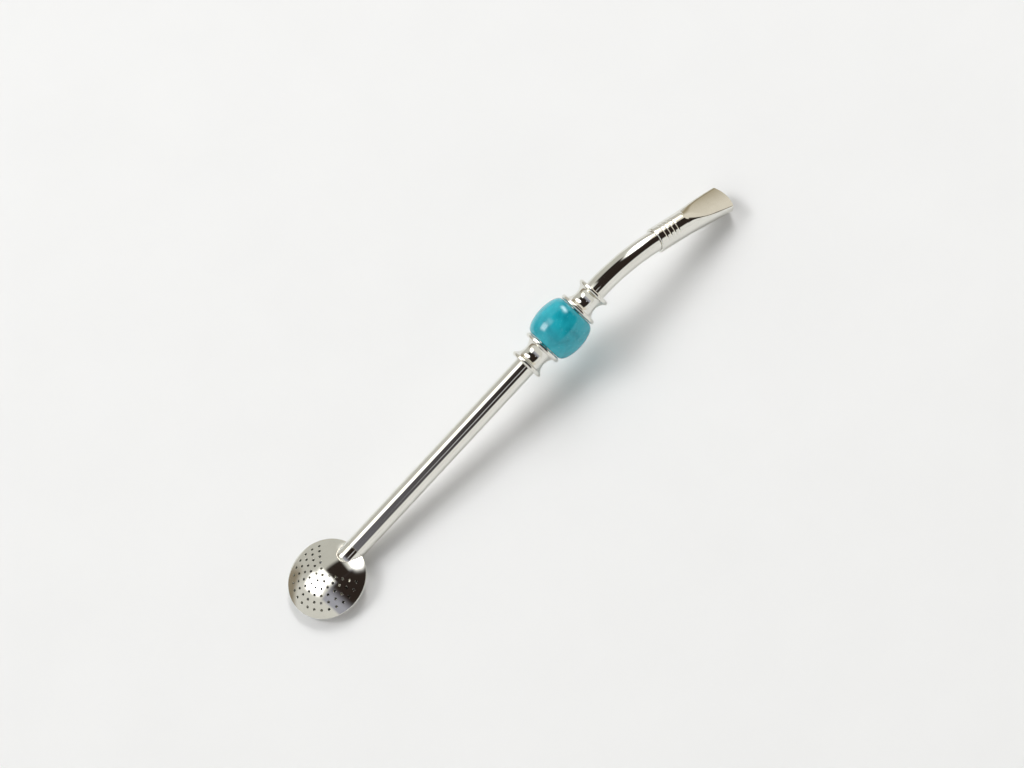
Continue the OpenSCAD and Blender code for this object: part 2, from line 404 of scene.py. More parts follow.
beyond_second = add_node(punch_tree, "ShaderNodeMath", {0: ring_index, 1: 1.0}, operation="SUBTRACT")
outer_holes = add_node(
    punch_tree, "ShaderNodeMath",
    {0: beyond_second.outputs[0], 1: punch_in["Ring Gain"], 2: punch_in["Second Ring"]},
    operation="MULTIPLY_ADD",
)
past_first = add_node(punch_tree, "ShaderNodeMath", {0: ring_index, 1: 0.5}, operation="GREATER_THAN")
holes = add_node(
    punch_tree, "GeometryNodeSwitch",
    {"Switch": past_first.outputs[0], "False": punch_in["First Ring"], "True": outer_holes.outputs[0]},
    input_type="INT",
)
ring_line = add_node(punch_tree, "GeometryNodeMeshLine", {"Count": holes.outputs[0]})
last_hole = add_node(punch_tree, "ShaderNodeMath", {0: holes.outputs[0], 1: 1.0}, operation="SUBTRACT")
hole_index = add_node(punch_tree, "GeometryNodeInputIndex").outputs[0]
hole_share = add_node(
    punch_tree, "ShaderNodeMath", {0: hole_index, 1: last_hole.outputs[0]}, operation="DIVIDE"
)
centred_share = add_node(
    punch_tree, "ShaderNodeMath", {0: hole_share.outputs[0], 1: 0.5}, operation="SUBTRACT"
)
hole_turn = add_node(
    punch_tree, "ShaderNodeMath",
    {0: centred_share.outputs[0], 1: punch_in["Hole Span"], 2: math.pi}, operation="MULTIPLY_ADD",
)
ring_reach = add_node(
    punch_tree, "ShaderNodeMath", {0: ring_number.outputs[0], 1: punch_in["Ring Step"]}, operation="MULTIPLY"
)
ring_lean = add_node(
    punch_tree, "ShaderNodeMath", {0: ring_reach.outputs[0], 1: punch_in["Dome Radius"]}, operation="DIVIDE"
)
leaned = add_node(
    punch_tree, "ShaderNodeVectorRotate",
    {"Vector": (0, 0, 1), "Axis": (0, 1, 0), "Angle": ring_lean.outputs[0]},
    rotation_type="AXIS_ANGLE",
)
swung = add_node(
    punch_tree, "ShaderNodeVectorRotate",
    {"Vector": leaned.outputs[0], "Axis": (0, 0, 1), "Angle": hole_turn.outputs[0]},
    rotation_type="AXIS_ANGLE",
)
on_dome = add_node(
    punch_tree, "ShaderNodeVectorMath",
    {0: swung.outputs[0], "Scale": punch_in["Dome Radius"]}, operation="SCALE",
)
side_scale = add_node(punch_tree, "ShaderNodeCombineXYZ", {"X": 1.0, "Y": 1.0, "Z": punch_in["Side"]})
on_side = add_node(
    punch_tree, "ShaderNodeVectorMath",
    {0: on_dome.outputs[0], 1: side_scale.outputs[0]}, operation="MULTIPLY",
)
ring_points = add_node(
    punch_tree, "GeometryNodeSetPosition", {"Geometry": ring_line.outputs[0], "Position": on_side.outputs[0]}
)
all_points = add_node(punch_tree, "GeometryNodeJoinGeometry", {0: rings_start.outputs["Geometry"]})
punch_tree.links.new(ring_points.outputs[0], all_points.inputs[0])
punch_tree.links.new(all_points.outputs[0], rings_end.inputs["Geometry"])
square_to_dome = add_node(
    punch_tree, "FunctionNodeAlignRotationToVector",
    {"Vector": add_node(punch_tree, "GeometryNodeInputPosition").outputs[0]}, axis="Z",
)
punch_shape = add_node(punch_tree, "GeometryNodeObjectInfo", {"Object": punch_in["Punch"]})
saddle_shape = add_node(punch_tree, "GeometryNodeObjectInfo", {"Object": punch_in["Saddle"]})
punches = add_node(
    punch_tree, "GeometryNodeInstanceOnPoints",
    {
        "Points": rings_end.outputs["Geometry"], "Instance": punch_shape.outputs["Geometry"],
        "Rotation": square_to_dome.outputs[0],
    },
)
punches_real = add_node(punch_tree, "GeometryNodeRealizeInstances", {"Geometry": punches.outputs[0]})
punches_placed = add_node(
    punch_tree, "GeometryNodeSetPosition",
    {"Geometry": punches_real.outputs[0], "Offset": punch_in["Dome Centre"]},
)
cut = add_node(
    punch_tree, "GeometryNodeMeshBoolean",
    {"Mesh 1": punch_in["Geometry"], "Mesh 2": punches_placed.outputs[0]},
    operation="DIFFERENCE", solver="EXACT",
)
punch_tree.links.new(saddle_shape.outputs["Geometry"], cut.inputs["Mesh 2"])
end_tree(punch_tree, cut.outputs[0], punch_in["Finish"])

# The punch, which leaves a small rounded edge round its hole, and the seat for the socket's nose
punch_tool = skin("punch_tool", [
    ring_about_z(0, out, up, hole_points)
    for out, up in [
        (0, -punch_reach), (hole_r, -punch_reach), (hole_r, -1.1 * hole_edge),
        (hole_r + 0.35 * hole_edge, -0.35 * hole_edge), (hole_r + 1.1 * hole_edge, 0.02 * hole_edge),
        (hole_r + 4 * hole_edge, shell_t), (0, shell_t),
    ]
], closed=False)
saddle_outline = [Vector((saddle_start, 0)), Vector((saddle_start, socket_r + braze_gap))]
saddle_outline += nose_outline(braze_gap)
saddle_outline.append(Vector((saddle_outline[-1].x, 0)))
saddle_tool = skin("saddle_tool", [ring_about_x(p.x, p.y) for p in saddle_outline], closed=False)


def shell_outline(side):
    """The section of one shell from the apex outside, round the rim, to the apex inside."""
    inner_r = dome_r - shell_t
    lean_out = math.asin((rim_r - rim_round) / dome_r)
    lean_in = math.acos(-dome_centre / inner_r)
    outside = [
        (dome_r * math.sin(a), dome_centre + dome_r * math.cos(a))
        for a in [lean_out * k / dome_rings for k in range(dome_rings + 1)]
    ]
    edge = [(p.x, p.y) for p in rounded([
        outside[-1] + (0,), (rim_r, rim_band, 2 * rim_round), (rim_r, 0, rim_edge),
        (inner_r * math.sin(lean_in), 0, 0),
    ])[1:-1]]
    hollow = [
        (inner_r * math.sin(a), dome_centre + inner_r * math.cos(a))
        for a in [lean_in * k / dome_rings for k in range(dome_rings, -1, -1)]
    ]
    return [(out, side * up) for out, up in outside + edge + hollow]


# The oxide that the heat of the brazing leaves on the inside of the shells, where no buff gets at it, with
# painted
# shade in it: the colour is taken down to near black and the shine almost to nothing, to stand in for the
# shade inside the closed strainer. The eye sees a dull, blotchy brown-black through the holes.
oxide_and_shade = bpy.data.materials.new("heat_oxide_and_painted_shade")
oxide_and_shade.use_nodes = True
oxide_blotch = 1.5 * MM
oxide_tree = oxide_and_shade.node_tree
oxide_shader = oxide_tree.nodes["Principled BSDF"]
oxide_place = add_node(oxide_tree, "ShaderNodeTexCoord").outputs["Object"]
oxide_noise = add_node(
    oxide_tree, "ShaderNodeTexNoise", {"Vector": oxide_place, "Scale": 1 / oxide_blotch, "Detail": 4}
)
# Near-black: the oxide's own colour darkened into painted shade for the hollow inside the strainer
oxide_and_shade_mix = add_node(
    oxide_tree, "ShaderNodeMix",
    {"Factor": oxide_noise.outputs["Fac"], MIX_A: linear("#0C0A09"), MIX_B: linear("#1C1714")},
    data_type="RGBA",
)
oxide_rough = add_node(
    oxide_tree, "ShaderNodeMapRange", {"Value": oxide_noise.outputs["Fac"], "To Min": 0.65, "To Max": 0.85}
)
# Almost no shine, so that the lamps do not light up the painted shade inside the holes
oxide_shader.inputs["Specular IOR Level"].default_value = 0.05
oxide_tree.links.new(oxide_and_shade_mix.outputs[MIX_OUT], oxide_shader.inputs["Base Color"])
oxide_tree.links.new(oxide_rough.outputs[0], oxide_shader.inputs["Roughness"])


def oxide_and_shade_inside(mesh, centre):
    """Gives the hollow side of a shell and the walls of its holes the oxide, darkened with painted shade."""
    mesh.materials.append(oxide_and_shade)
    for face in mesh.polygons:
        inside = (face.center - centre).length < dome_r - 2 * hole_edge
        off_rim = math.hypot(face.center.x - strainer_x, face.center.y) < rim_r - 2 * rim_round
        if inside and off_rim:
            face.material_index = 1


# A face is part of the dome when it is this near the skin and looks this squarely out or in
dome_near = 0.03 * MM
dome_facing = 0.97


def true_dome_normals(mesh, centre):
    """Gives the faces of the dome the dome's own normals, so that the cuts don't dent its reflections."""
    normals = [None] * len(mesh.loops)
    smooth = [corner.vector.copy() for corner in mesh.corner_normals]
    for face in mesh.polygons:
        facing = face.normal.dot((face.center - centre).normalized())
        from_centre = (face.center - centre).length
        off_skin = min(abs(from_centre - dome_r), abs(from_centre - dome_r + shell_t))
        for loop in face.loop_indices:
            if abs(facing) > dome_facing and off_skin < dome_near:
                radial = (mesh.vertices[mesh.loops[loop].vertex_index].co - centre).normalized()
                normals[loop] = radial if facing > 0 else -radial
            else:
                normals[loop] = smooth[loop]
    mesh.normals_split_custom_set(normals)


for name, node, side in [("punched_front", "strainer_front", 1), ("punched_back", "strainer_back", -1)]:
    centre = Vector((strainer_x, 0, side * dome_centre))
    shell_rings = [ring_about_z(strainer_x, out, up, shell_points) for out, up in shell_outline(side)]
    shell = skin(name, shell_rings, closed=False)
    work(shell, punch_tree, punch_sizes | {
        "Dome Radius": dome_r, "Dome Centre": centre, "Side": float(side),
        "Punch": punch_tool, "Saddle": saddle_tool, "Finish": steel,
    })
    shell.data.shade_smooth()
    shell.data.set_sharp_from_angle(angle=hole_crease)
    true_dome_normals(shell.data, centre)
    oxide_and_shade_inside(shell.data, centre)
    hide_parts(node)
    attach(shell, "strainer")
for tool in (punch_tool, saddle_tool):
    bpy.data.objects.remove(tool)


# Braze at the neck
# The silver braze that was run into the joint between the socket's nose and each shell. It stands as a
# thin rounded line round the nose, polished with the rest.
braze_r = 0.13 * MM
braze_points = 72
braze_sides = 10
halvings = 40


def dome_up(along, across):
    """Height of the front dome over the rim's plane."""
    return dome_centre + math.sqrt(dome_r ** 2 - (along - strainer_x) ** 2 - across ** 2)


def socket_out(along):
    """Outside radius of the socket at a place along the stem's axis."""
    past_shoulder = (-seam_gap - along - (socket_len - nose_len)) / nose_len
    return nose_r + (socket_r - nose_r) * math.sqrt(max(0, 1 - max(0, past_shoulder) ** 2))


def neck_joint(turn):
    """Where the socket's skin comes out of the dome, at an angle from the top of the socket."""
    low, high = -seam_gap - socket_len, -seam_gap
    for _ in range(halvings):
        along = (low + high) / 2
        out = socket_out(along)
        if out * math.cos(turn) > dome_up(along, out * math.sin(turn)):
            high = along
        else:
            low = along
    out = socket_out(low)
    return Vector((low, out * math.sin(turn), out * math.cos(turn)))


braze_tree, braze_in = new_tree(
    "braze_line", {"Braze Radius": "Float", "Sides": "Int", "Finish": "Material"}
)
braze_path = add_node(braze_tree, "GeometryNodeMeshToCurve", {"Mesh": braze_in["Geometry"]})
braze_round = add_node(
    braze_tree, "GeometryNodeCurvePrimitiveCircle",
    {"Resolution": braze_in["Sides"], "Radius": braze_in["Braze Radius"]},
)
braze_run = add_node(
    braze_tree, "GeometryNodeCurveToMesh",
    {"Curve": braze_path.outputs[0], "Profile Curve": braze_round.outputs[0], "Fill Caps": True},
)
end_tree(braze_tree, braze_run.outputs[0], braze_in["Finish"])

# Silver braze metal, melted into the joint and buffed: a little softer and warmer than the steel
braze = bpy.data.materials.new("silver_braze")
braze.use_nodes = True
braze_speck = 0.6 * MM
braze_nodes = braze.node_tree
braze_shader = braze_nodes.nodes["Principled BSDF"]
braze_place = add_node(braze_nodes, "ShaderNodeTexCoord").outputs["Object"]
braze_noise = add_node(
    braze_nodes, "ShaderNodeTexNoise", {"Vector": braze_place, "Scale": 1 / braze_speck, "Detail": 3}
)
braze_mix = add_node(
    braze_nodes, "ShaderNodeMix",
    {"Factor": braze_noise.outputs["Fac"], MIX_A: linear("#EDE8DD"), MIX_B: linear("#CFC8BA")},
    data_type="RGBA",
)
braze_rough = add_node(
    braze_nodes, "ShaderNodeMapRange", {"Value": braze_noise.outputs["Fac"], "To Min": 0.12, "To Max": 0.28}
)
braze_shader.inputs["Metallic"].default_value = 1
braze_nodes.links.new(braze_mix.outputs[MIX_OUT], braze_shader.inputs["Base Color"])
braze_nodes.links.new(braze_rough.outputs[0], braze_shader.inputs["Roughness"])

rim_turn = math.acos(rim_band / socket_r)
for name, side in [("braze_front", 1), ("braze_back", -1)]:
    turns = [rim_turn * (2 * k / braze_points - 1) for k in range(braze_points + 1)]
    joint = [neck_joint(a) for a in turns]
    path = bpy.data.meshes.new(name)
    path.from_pydata(
        [(p.x, p.y, side * p.z) for p in joint], [(k, k + 1) for k in range(braze_points)], []
    )
    line = bpy.data.objects.new(name, path)
    bpy.context.scene.collection.objects.link(line)
    work(line, braze_tree, {"Braze Radius": braze_r, "Sides": braze_sides, "Finish": braze})
    line.data.shade_smooth()
    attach(line, "strainer")


# Ferrules
# Two spools turned from steel bar, alike, slid over the tube and brazed on either side of the bead.
# Each has a wide flange against the bead, a hollow waist and a smaller flange against the tube.
seat_r = 4.03 * MM
ferrule_len = 9.9 * MM
bead_flange_r = 7.55 * MM
tube_flange_r = 6.5 * MM
flange_t = 1.7 * MM
waist_wall = 0.45 * MM
waist_r = 4.6 * MM
lower_ferrule_x = 89.6 * MM
bead_gap = 0.17 * MM
bead_len = 16.6 * MM
bead_x = lower_ferrule_x + ferrule_len + bead_gap
upper_ferrule_x = bead_x + bead_len + bead_gap
flange_steps = 16
waist_steps = 28


def arc(centre, radius, start, end, steps):
    """Points of an arc in the section, in degrees from the out direction towards the mouth."""
    turns = [math.radians(start + (end - start) * k / steps) for k in range(steps + 1)]
    return [Vector((centre[0] + radius * math.sin(a), centre[1] + radius * math.cos(a))) for a in turns]


half_flange = flange_t / 2
waist_lean = math.degrees(math.asin((ferrule_len / 2 - flange_t) / waist_r))
spool_outline = [Vector((0, seat_r))]
spool_outline += arc((half_flange, tube_flange_r - half_flange), half_flange, -90, 90, flange_steps)
spool_outline += arc(
    (ferrule_len / 2, seat_r + waist_wall + waist_r), waist_r, 180 + waist_lean, 180 - waist_lean, waist_steps
)
spool_outline += arc(
    (ferrule_len - half_flange, bead_flange_r - half_flange), half_flange, -90, 90, flange_steps
)
spool_outline += [Vector((ferrule_len, seat_r))]
for name, node, start, way in [
    ("spool_lower", "lower_ferrule", lower_ferrule_x, 1),
    ("spool_upper", "upper_ferrule", upper_ferrule_x + ferrule_len, -1),
]:
    spool = skin(name, [ring_about_x(start + way * p.x, p.y) for p in spool_outline])
    spool.data.materials.append(steel)
    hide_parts(node)
    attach(spool, "stem")


# Bead
# A turquoise barrel bead, cast in clouded acrylic and lacquered to a gloss. It is threaded on the tube
# between the ferrules and turns freely there.
bead_r = 9.95 * MM
bead_end_r = 6.6 * MM
bead_bore = 4.06 * MM
bead_edge = 0.35 * MM
bead_steps = 48
bead_points = 128
bead_swell = bead_r - bead_end_r
bead_outline = [Vector((0, bead_bore)), Vector((0, bead_end_r - bead_edge))]
bead_outline += [
    Vector((bead_len / 2 * (1 - math.cos(a)), bead_end_r + bead_swell * math.sin(a)))
    for a in [math.pi * (k + 0.5) / bead_steps for k in range(bead_steps)]
]
bead_outline += [Vector((bead_len, bead_end_r - bead_edge)), Vector((bead_len, bead_bore))]
bead = skin("turquoise_bead", [ring_about_x(bead_x + p.x, p.y, bead_points) for p in bead_outline])

# Cast acrylic, clouded with pigment. The eye sees soft paler and darker clouds of turquoise a few
# millimetres across, fine pale flecks, and a lacquered gloss that is very slightly uneven.
acrylic = bpy.data.materials.new("clouded_turquoise_acrylic")
acrylic.use_nodes = True
cloud_size = 6 * MM
fleck_size = 0.9 * MM
gloss_waver = 0.15 * MM
acrylic_tree = acrylic.node_tree
acrylic_shader = acrylic_tree.nodes["Principled BSDF"]
acrylic_place = add_node(acrylic_tree, "ShaderNodeTexCoord").outputs["Object"]
clouds = add_node(
    acrylic_tree, "ShaderNodeTexNoise",
    {"Vector": acrylic_place, "Scale": 1 / cloud_size, "Detail": 5, "Roughness": 0.55, "Distortion": 0.6},
)
cloud_share = add_node(
    acrylic_tree, "ShaderNodeMapRange", {"Value": clouds.outputs["Fac"], "From Min": 0.3, "From Max": 0.7}
)
cloud_mix = add_node(
    acrylic_tree, "ShaderNodeMix",
    {"Factor": cloud_share.outputs[0], MIX_A: linear("#0C90A2"), MIX_B: linear("#26B4C5")},
    data_type="RGBA",
)
flecks = add_node(
    acrylic_tree, "ShaderNodeTexNoise", {"Vector": acrylic_place, "Scale": 1 / fleck_size, "Detail": 2}
)
fleck_share = add_node(
    acrylic_tree, "ShaderNodeMapRange",
    {"Value": flecks.outputs["Fac"], "From Min": 0.62, "From Max": 0.8, "To Max": 0.35},
)
acrylic_mix = add_node(
    acrylic_tree, "ShaderNodeMix",
    {"Factor": fleck_share.outputs[0], MIX_A: cloud_mix.outputs[MIX_OUT], MIX_B: linear("#6CD0D8")},
    data_type="RGBA",
)
acrylic_rough = add_node(
    acrylic_tree, "ShaderNodeMapRange", {"Value": clouds.outputs["Fac"], "To Min": 0.05, "To Max": 0.13}
)
acrylic_bump = add_node(
    acrylic_tree, "ShaderNodeBump",
    {"Strength": 0.12, "Distance": gloss_waver, "Height": clouds.outputs["Fac"]},
)
acrylic_shader.inputs["IOR"].default_value = 1.49
acrylic_shader.inputs["Coat Weight"].default_value = 0.3
acrylic_shader.inputs["Coat Roughness"].default_value = 0.04
acrylic_tree.links.new(acrylic_mix.outputs[MIX_OUT], acrylic_shader.inputs["Base Color"])
acrylic_tree.links.new(acrylic_rough.outputs[0], acrylic_shader.inputs["Roughness"])
acrylic_tree.links.new(acrylic_bump.outputs[0], acrylic_shader.inputs["Normal"])
bead.data.materials.append(acrylic)
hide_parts("bead")
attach(bead, "bead")


# Mouthpiece
# A steel sleeve, brazed over the tube's end. Four rings are rolled into it, and past them it is flared
# and pressed flat on its upper side into a beak with a rounded end.
sleeve_r = 4.83 * MM
sleeve_wall = 0.8 * MM
sleeve_edge = 0.5 * MM
mouth_len = 34 * MM
facet_start = 13 * MM
press_len = 12 * MM
flat_slope = math.tan(math.radians(8))
tip_r = 5.9 * MM
tip_h = 6.9 * MM
tip_end_r = 12.5 * MM
tip_ease = 3
facet_round = 1.0 * MM
crown_r = 100 * MM
lip_depth = 0.4 * MM
mouth_points = 176
groove_zone = (1.7 * MM, 10.2 * MM)
plain_station = sleeve_edge + 0.6 * MM
groove_stations = 130
beak_stations = 110
lead_stations = 4
passage_steps = 40
edge_steps = 8
lip_steps = 8
beak_len = mouth_len - facet_start
press_drop = sleeve_r - (tip_h - tip_r) - flat_slope * beak_len
mouth_x = bend_start + bend_len + mouth_lead
engraving = {
    "Sleeve Start": mouth_x, "First Ring": 3.05 * MM, "Pitch": 1.85 * MM, "Rings": 4,
    "Width": 0.8 * MM, "Depth": 0.08 * MM, "Skin Radius": sleeve_r - 0.15 * MM, "Finish": steel,
}


def press_height(along):
    """Height of the pressed upper side: the fall of the flat, and an eased sink where it starts."""
    past = along - facet_start
    share = min(1, max(0, past / press_len))
    return sleeve_r - flat_slope * past - press_drop * (1 - math.cos(math.pi * share)) / 2


def beak_out(along, turn, start_r, end_r, depth):
    """A point of the beak's section: a circle under a slightly crowned flat, met by a rounded edge."""
    past = max(0, along - facet_start)
    round_r = start_r + (end_r - start_r) * past / beak_len
    flat = press_height(along) - depth
    heart = min(0, (flat - round_r) / 2)
    across, up = math.cos(turn), math.sin(turn)
    out = -heart * up + math.sqrt(round_r ** 2 - (heart * across) ** 2)
    if up > 0:
        # Across the beak the crowned flat is a shallow parabola, and the ray from the heart meets it here
        bow = across ** 2 / (2 * crown_r)
        to_flat = 2 * (flat - heart) / (up + math.sqrt(up ** 2 + 4 * bow * (flat - heart)))
        # The two meet in a rounded edge, which comes in with the flat
        near = max(0, facet_round - abs(out - to_flat)) / facet_round
        out = min(out, to_flat) - near ** 2 * facet_round / 4 * min(1, past / facet_round)
    return out * across, heart + out * up


def beak_ring(along, start_r, end_r, depth):
    """One ring of the mouthpiece, drawn back at its sides to follow the tip's rounded end."""
    ring = []
    for k in range(mouth_points):
        turn = 2 * math.pi * k / mouth_points
        across, up = beak_out(along, turn, start_r, end_r, depth)
        end = mouth_len - tip_end_r + math.sqrt(tip_end_r ** 2 - across ** 2)
        share = max(0, along - facet_start) / beak_len
        here = along - share ** tip_ease * (mouth_len - end)
        across, up = beak_out(here, turn, start_r, end_r, depth)
        ring.append(Vector((mouth_x + here, across, up)))
    return ring


groove_low, groove_high = groove_zone
outside_stations = [plain_station]
outside_stations += [
    groove_low + (groove_high - groove_low) * k / groove_stations for k in range(groove_stations + 1)
]
outside_stations += [
    facet_start + (beak_len - lip_depth) * k / beak_stations for k in range(-lead_stations, beak_stations + 1)
]
edge_rings = [
    ring_about_x(
        mouth_x + sleeve_edge * (1 - math.sin(a)), sleeve_r - sleeve_edge * (1 - math.cos(a)), mouth_points
    )
    for a in [math.pi / 2 * (1 - k / edge_steps) for k in range(edge_steps + 1)]
]
outside_rings = [beak_ring(s, sleeve_r, tip_r, 0) for s in outside_stations]
passage_end_r = seat_r + tip_r - sleeve_r
passage_stations = [0, facet_start] + [
    facet_start + (beak_len - lip_depth) * (k + 1) / passage_steps for k in range(passage_steps)
]
passage_rings = [beak_ring(s, seat_r, passage_end_r, sleeve_wall) for s in reversed(passage_stations)]
lip_rings = []
for k in range(1, lip_steps):
    a = math.pi * k / lip_steps
    lip_rings.append([
        (o + i) / 2 + (o - i) / 2 * math.cos(a) + Vector((lip_depth * math.sin(a), 0, 0))
        for o, i in zip(outside_rings[-1], passage_rings[0])
    ])
mouthpiece = skin("beak_mouthpiece", edge_rings + outside_rings + lip_rings + passage_rings)

# The ring roller: pushes in the outer skin in evenly spaced rings
ring_tree, ring_in = new_tree("rolled_rings", {
    "Sleeve Start": "Float", "First Ring": "Float", "Pitch": "Float", "Rings": "Int", "Width": "Float",
    "Depth": "Float", "Skin Radius": "Float", "Finish": "Material",
})
ring_place = add_node(ring_tree, "GeometryNodeInputPosition").outputs[0]
ring_xyz = add_node(ring_tree, "ShaderNodeSeparateXYZ", {0: ring_place}).outputs
from_start = add_node(
    ring_tree, "ShaderNodeMath", {0: ring_xyz["X"], 1: ring_in["Sleeve Start"]}, operation="SUBTRACT"
)
from_first = add_node(
    ring_tree, "ShaderNodeMath", {0: from_start.outputs[0], 1: ring_in["First Ring"]}, operation="SUBTRACT"
)
pitches = add_node(
    ring_tree, "ShaderNodeMath", {0: from_first.outputs[0], 1: ring_in["Pitch"]}, operation="DIVIDE"
)
nearest = add_node(ring_tree, "ShaderNodeMath", {0: pitches.outputs[0]}, operation="ROUND")
last_ring = add_node(ring_tree, "ShaderNodeMath", {0: ring_in["Rings"], 1: 1.0}, operation="SUBTRACT")
held = add_node(
    ring_tree, "ShaderNodeClamp", {"Value": nearest.outputs[0], "Min": 0.0, "Max": last_ring.outputs[0]}
)
off_pitches = add_node(
    ring_tree, "ShaderNodeMath", {0: pitches.outputs[0], 1: held.outputs[0]}, operation="SUBTRACT"
)
off_ring = add_node(
    ring_tree, "ShaderNodeMath", {0: off_pitches.outputs[0], 1: ring_in["Pitch"]}, operation="MULTIPLY"
)
off_size = add_node(ring_tree, "ShaderNodeMath", {0: off_ring.outputs[0]}, operation="ABSOLUTE")
half_width = add_node(ring_tree, "ShaderNodeMath", {0: ring_in["Width"], 1: 0.5}, operation="MULTIPLY")
push = add_node(
    ring_tree, "ShaderNodeMapRange",
    {
        "Value": off_size.outputs[0], "From Min": 0.0, "From Max": half_width.outputs[0],
        "To Min": ring_in["Depth"], "To Max": 0.0,
    },
    interpolation_type="SMOOTHSTEP",
)
radial = add_node(ring_tree, "ShaderNodeCombineXYZ", {"Y": ring_xyz["Y"], "Z": ring_xyz["Z"]})
radius = add_node(ring_tree, "ShaderNodeVectorMath", {0: radial.outputs[0]}, operation="LENGTH")
on_skin = add_node(
    ring_tree, "ShaderNodeMath",
    {0: radius.outputs["Value"], 1: ring_in["Skin Radius"]}, operation="GREATER_THAN",
)
outward = add_node(ring_tree, "ShaderNodeVectorMath", {0: radial.outputs[0]}, operation="NORMALIZE")
back_push = add_node(ring_tree, "ShaderNodeMath", {0: push.outputs[0], 1: -1.0}, operation="MULTIPLY")
moved = add_node(
    ring_tree, "ShaderNodeVectorMath",
    {0: outward.outputs[0], "Scale": back_push.outputs[0]}, operation="SCALE",
)
engraved = add_node(
    ring_tree, "GeometryNodeSetPosition",
    {"Geometry": ring_in["Geometry"], "Selection": on_skin.outputs[0], "Offset": moved.outputs[0]},
)
end_tree(ring_tree, engraved.outputs[0], ring_in["Finish"])
work(mouthpiece, ring_tree, engraving)
work(mouthpiece, bend_tree, bend_sizes)
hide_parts("mouthpiece")
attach(mouthpiece, "stem")


# Floor
# A matt off-white table top. It is tilted so that the straw rests on it as it would on any table, on
# the back of the strainer and the end of the mouthpiece, while the stem keeps its place in the frame.
floor_half = 4.0
steepest = math.radians(20)


def lowest(node, slope):
    """How far a node reaches down, measured square to a floor that falls by a slope along +X."""
    up = Vector((math.sin(slope), 0, math.cos(slope)))
    return min(up.dot(v.co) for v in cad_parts[node].data.vertices)


low_slope, high_slope = 0.0, steepest
for _ in range(halvings):
    floor_slope = (low_slope + high_slope) / 2
    if lowest("strainer_back", floor_slope) > lowest("mouthpiece", floor_slope):
        low_slope = floor_slope
    else:
        high_slope = floor_slope
floor_up = Vector((math.sin(floor_slope), 0, math.cos(floor_slope)))
floor_along = Vector((math.cos(floor_slope), 0, -math.sin(floor_slope)))
floor_at = floor_up * lowest("mouthpiece", floor_slope)
floor_mesh = bpy.data.meshes.new("table_top")
floor_corners = [
    floor_at + floor_along * i * floor_half + Vector((0, j * floor_half, 0))
    for i, j in [(-1, -1), (1, -1), (1, 1), (-1, 1)]
]
floor_mesh.from_pydata(floor_corners, [], [(0, 1, 2, 3)])
floor = bpy.data.objects.new("table_top", floor_mesh)
bpy.context.scene.collection.objects.link(floor)

# Painted board: off-white and matt, with a faint unevenness from the roller
board = bpy.data.materials.new("matt_painted_board")
board.use_nodes = True
roller_mark = 40 * MM
board_tree = board.node_tree
board_shader = board_tree.nodes["Principled BSDF"]
board_place = add_node(board_tree, "ShaderNodeTexCoord").outputs["Object"]
board_noise = add_node(
    board_tree, "ShaderNodeTexNoise", {"Vector": board_place, "Scale": 1 / roller_mark, "Detail": 3}
)
board_mix = add_node(
    board_tree, "ShaderNodeMix",
    {"Factor": board_noise.outputs["Fac"], MIX_A: linear("#F3F4F5"), MIX_B: linear("#EFF0F1")},
    data_type="RGBA",
)
board_shader.inputs["Roughness"].default_value = 0.9
board_shader.inputs["Specular IOR Level"].default_value = 0.1
board_tree.links.new(board_mix.outputs[MIX_OUT], board_shader.inputs["Base Color"])
floor_mesh.materials.append(board)


# Light
# Two window-sized softboxes behind the straw, a dimmer strip between them and a weak fill overhead. The
# room has pale walls, a warmer one past the mouthpiece, a darker corner at either end of the far side,
# and an unlit ceiling that gives the metal its black lines.
light_reach = 3.0
straw_middle = Vector((80 * MM, 0, 0))
cloth_falloff = 2.2


def towards(along, height):
    """A direction from its share along +X and its angle from +Y over the top, in degrees."""
    rest = math.sqrt(1 - along ** 2)
    return Vector((along, rest * math.cos(math.radians(height)), rest * math.sin(math.radians(height))))


def ease(tree, value, start, end):
    """A share that grows smoothly from nothing at the start to the whole at the end."""
    return add_node(
        tree, "ShaderNodeMapRange", {"Value": value, "From Min": start, "From Max": end},
        interpolation_type="SMOOTHSTEP",
    ).outputs[0]


def product(tree, shares):
    """The shares multiplied together."""
    result = shares[0]
    for share in shares[1:]:
        result = add_node(tree, "ShaderNodeMath", {0: result, 1: share}, operation="MULTIPLY").outputs[0]
    return result


